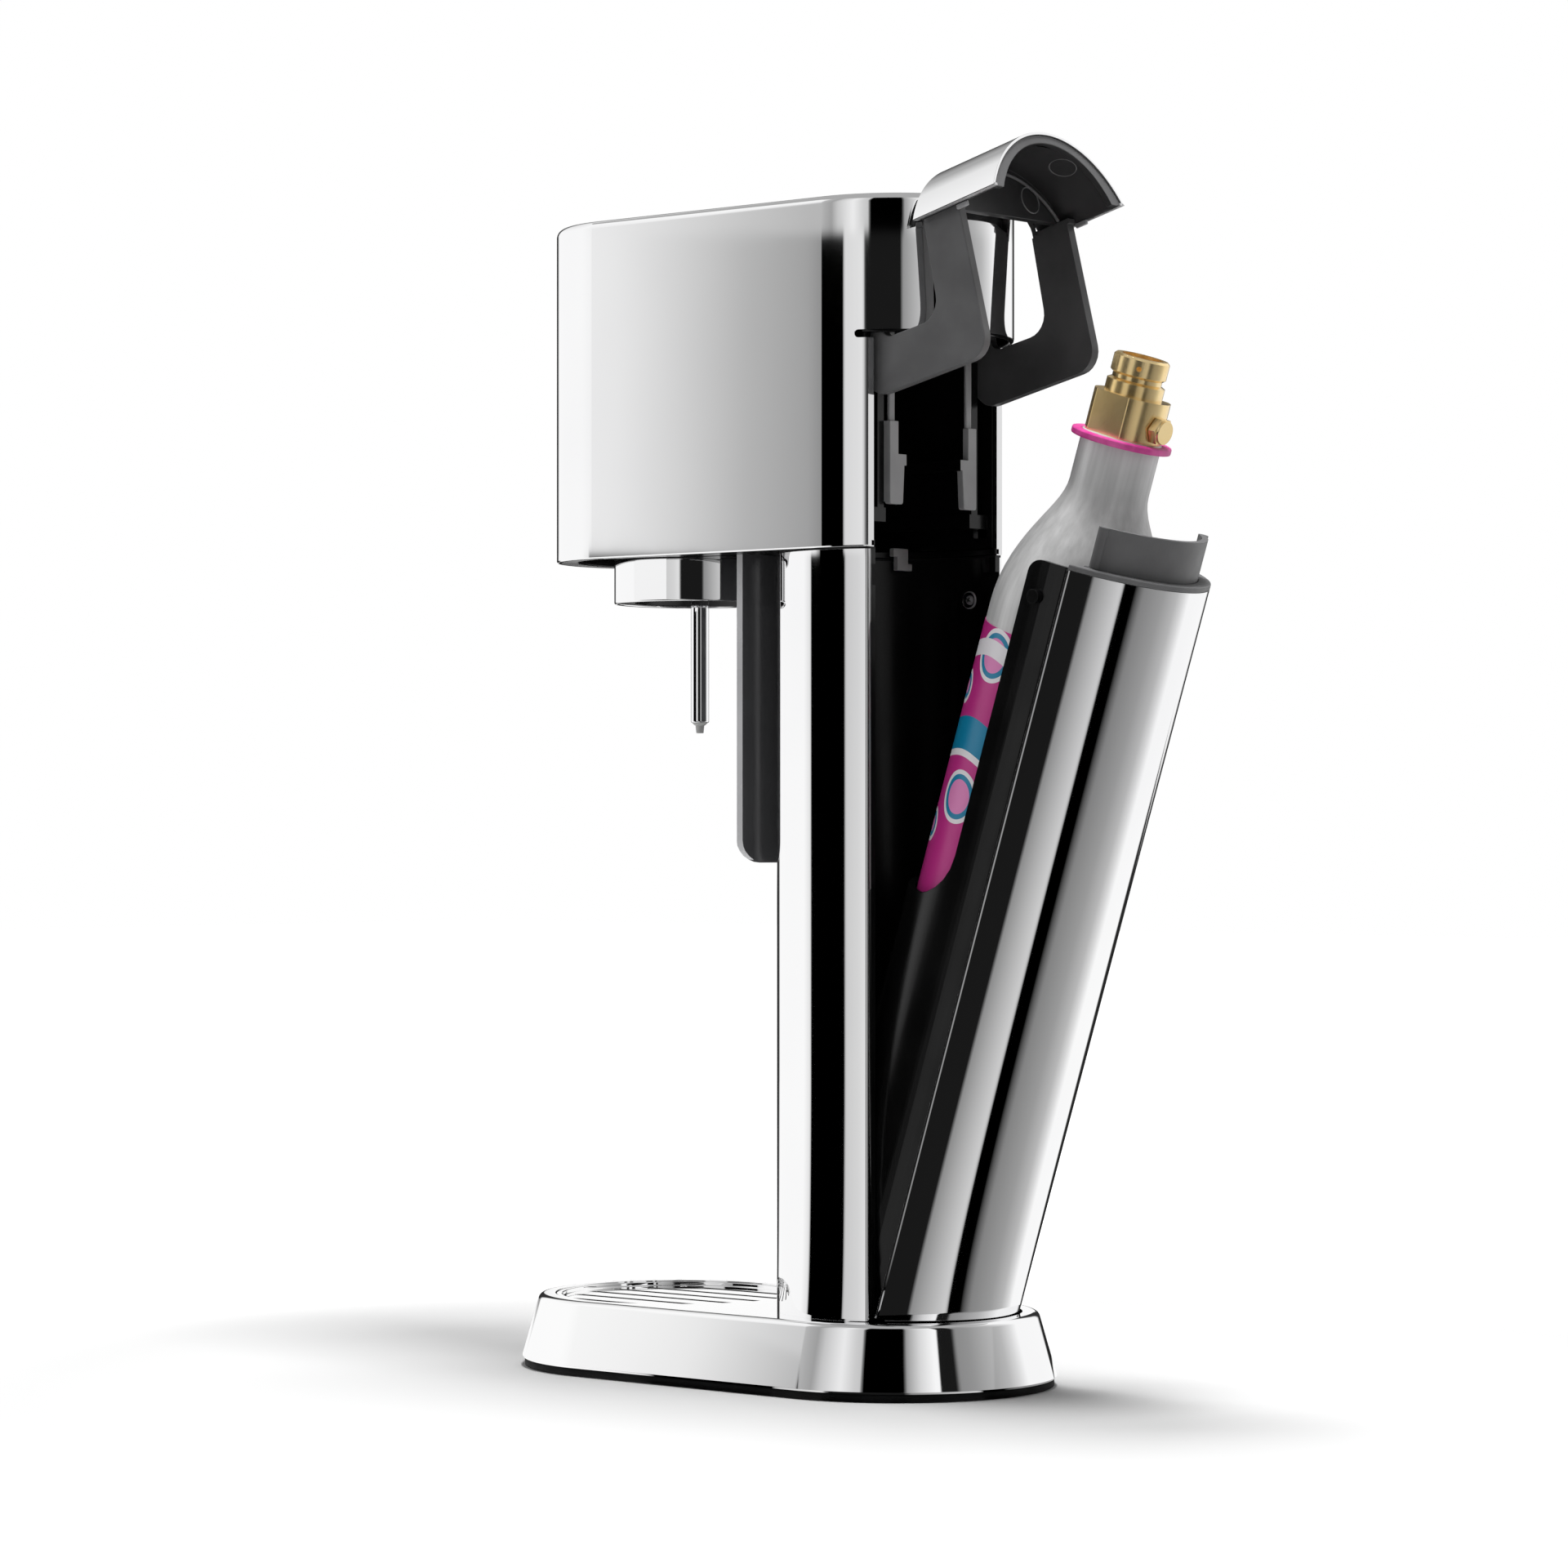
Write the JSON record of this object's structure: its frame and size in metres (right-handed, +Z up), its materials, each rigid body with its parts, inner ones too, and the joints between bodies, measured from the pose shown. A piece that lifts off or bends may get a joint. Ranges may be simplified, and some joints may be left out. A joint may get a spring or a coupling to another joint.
{
  "type": "sparkling water maker",
  "caption": "Polished manual water carbonator: stadium head and base on a round column, lift-up rear lever, tilt-out cover holding a gas cylinder, bottle holder with nozzle.",
  "frame": {"origin": "on the column axis at the floor, at the underside of the middle foot", "axes": "+Z up, front (bottle side) faces -Y, rear cover opens towards +Y, +X to the right seen from the front"},
  "size_m": [0.115, 0.289, 0.4402],
  "materials": {
    "polished_steel": "mirror polished stainless steel",
    "steel_hardware": "turned steel",
    "black_gloss_plastic": "glossy moulded black",
    "black_plastic": "fine textured black",
    "dark_grey_plastic": "satin dark grey",
    "grey_plastic": "satin mid grey",
    "tongue_grey_plastic": "satin dark grey",
    "pale_grey_plastic": "satin pale grey",
    "black_rubber": "soft matte",
    "cylinder_aluminium": "drawn, slightly streaked",
    "pink_print": "printed sleeve in pink, blue and white",
    "pink_ring": "moulded pink",
    "valve_brass": "turned brass",
    "smoked_plastic": "smoked moulded sheet"
  },
  "bodies": {
    "frame": {"base_shell": "polished_steel", "base_plate": "black_plastic", "rubber_feet": "black_rubber", "base_screws": "steel_hardware", "column_shell": "polished_steel", "column_liner": "black_gloss_plastic", "seam_gasket": "black_plastic", "liner_screws": "steel_hardware", "head_shell": "polished_steel", "head_underside": "black_gloss_plastic", "head_chassis": "black_gloss_plastic", "cylinder_stop": "pale_grey_plastic", "valve_block": "steel_hardware", "port_seal": "black_rubber", "gas_hose": "black_rubber", "lever_pivot_pins": "steel_hardware", "cover_hinge_pin": "steel_hardware", "tilt_pins": "steel_hardware", "rocker_pin": "steel_hardware", "button_housing": "black_plastic", "button_spring": "steel_hardware", "drip_cup": "black_plastic"},
    "lever": {"lever_cap": "polished_steel", "lever_cap_body": "dark_grey_plastic", "lever_arm_left": "dark_grey_plastic", "lever_arm_right": "dark_grey_plastic", "cap_clips": "steel_hardware"},
    "lift_carriage": {"lift_slider_left": "grey_plastic", "lift_slider_right": "grey_plastic", "lift_rod_left": "grey_plastic", "lift_rod_right": "grey_plastic"},
    "rear_cover": {"cover_shell": "polished_steel", "cover_tube": "black_gloss_plastic", "cover_frame": "black_gloss_plastic", "cover_rim": "dark_grey_plastic", "cover_tongue": "tongue_grey_plastic", "cover_pegs": "black_gloss_plastic", "cylinder_pad": "black_rubber"},
    "cylinder": {"gas_cylinder": "cylinder_aluminium", "cylinder_label": "pink_print", "neck_ring": "pink_ring", "valve_body": "valve_brass", "burst_plug": "valve_brass", "valve_spring": "steel_hardware"},
    "valve_pin": {"valve_pin": "valve_brass"},
    "button": {"carbonating_button": "polished_steel", "button_stem": "dark_grey_plastic"},
    "rocker": {"actuator_rocker": "steel_hardware"},
    "push_pin": {"push_pin": "steel_hardware"},
    "bottle_holder": {"bottle_collar": "polished_steel", "collar_insert": "black_gloss_plastic", "collar_carrier": "black_gloss_plastic", "bottle_seal": "black_rubber", "nozzle_tube": "steel_hardware", "nozzle_tip": "pale_grey_plastic", "splash_shield": "smoked_plastic", "relief_valve": "valve_brass"},
    "drip_tray": {"drip_tray": "polished_steel"}
  },
  "joints": [
    {"name": "lever_hinge", "type": "hinge", "parent": "frame", "child": "lever", "pos_m": [0, 0.012, 0.394], "axis": [1, 0, 0], "range_deg": [-105, 0]},
    {"name": "carriage_lift", "type": "slide", "parent": "frame", "child": "lift_carriage", "axis": [0, 0, 1], "range_m": [0, 0.0108]},
    {"name": "cover_hinge", "type": "hinge", "parent": "frame", "child": "rear_cover", "pos_m": [0, 0.016, 0.022], "axis": [-1, 0, 0], "range_deg": [-18, 0]},
    {"name": "cylinder_lift_out", "type": "slide", "parent": "rear_cover", "child": "cylinder", "axis": [0, 0.309, 0.9511], "range_m": [0, 0.3]},
    {"name": "valve_pin_press", "type": "slide", "parent": "cylinder", "child": "valve_pin", "axis": [0, 0.309, 0.9511], "range_m": [-0.0015, 0], "stiffness_N_per_m": 1500, "springref_m": 0.002},
    {"name": "button_press", "type": "slide", "parent": "frame", "child": "button", "axis": [0, 0, 1], "range_m": [-0.006, 0], "stiffness_N_per_m": 900, "springref_m": 0.003, "deforming": ["button_spring"]},
    {"name": "rocker_turn", "type": "hinge", "parent": "frame", "child": "rocker", "pos_m": [0, 0.022, 0.401], "axis": [1, 0, 0], "range_deg": [0, 2.66]},
    {"name": "push_pin_slide", "type": "slide", "parent": "frame", "child": "push_pin", "axis": [0, 0, 1], "range_m": [-0.00102, 0]},
    {"name": "bottle_tilt", "type": "hinge", "parent": "frame", "child": "bottle_holder", "pos_m": [0, -0.06, 0.311], "axis": [-1, 0, 0], "range_deg": [0, 12], "deforming": ["gas_hose"]},
    {"name": "tray_lift", "type": "slide", "parent": "frame", "child": "drip_tray", "axis": [0, 0, 1], "range_m": [0, 0.04]}
  ],
  "couplings": [
    {"joint": "carriage_lift", "follows": "lever_hinge", "m_per_rad": -0.0058933},
    {"joint": "rocker_turn", "follows": "button_press", "rad_per_m": -7.7307},
    {"joint": "push_pin_slide", "follows": "button_press", "ratio": 0.17}
  ]
}
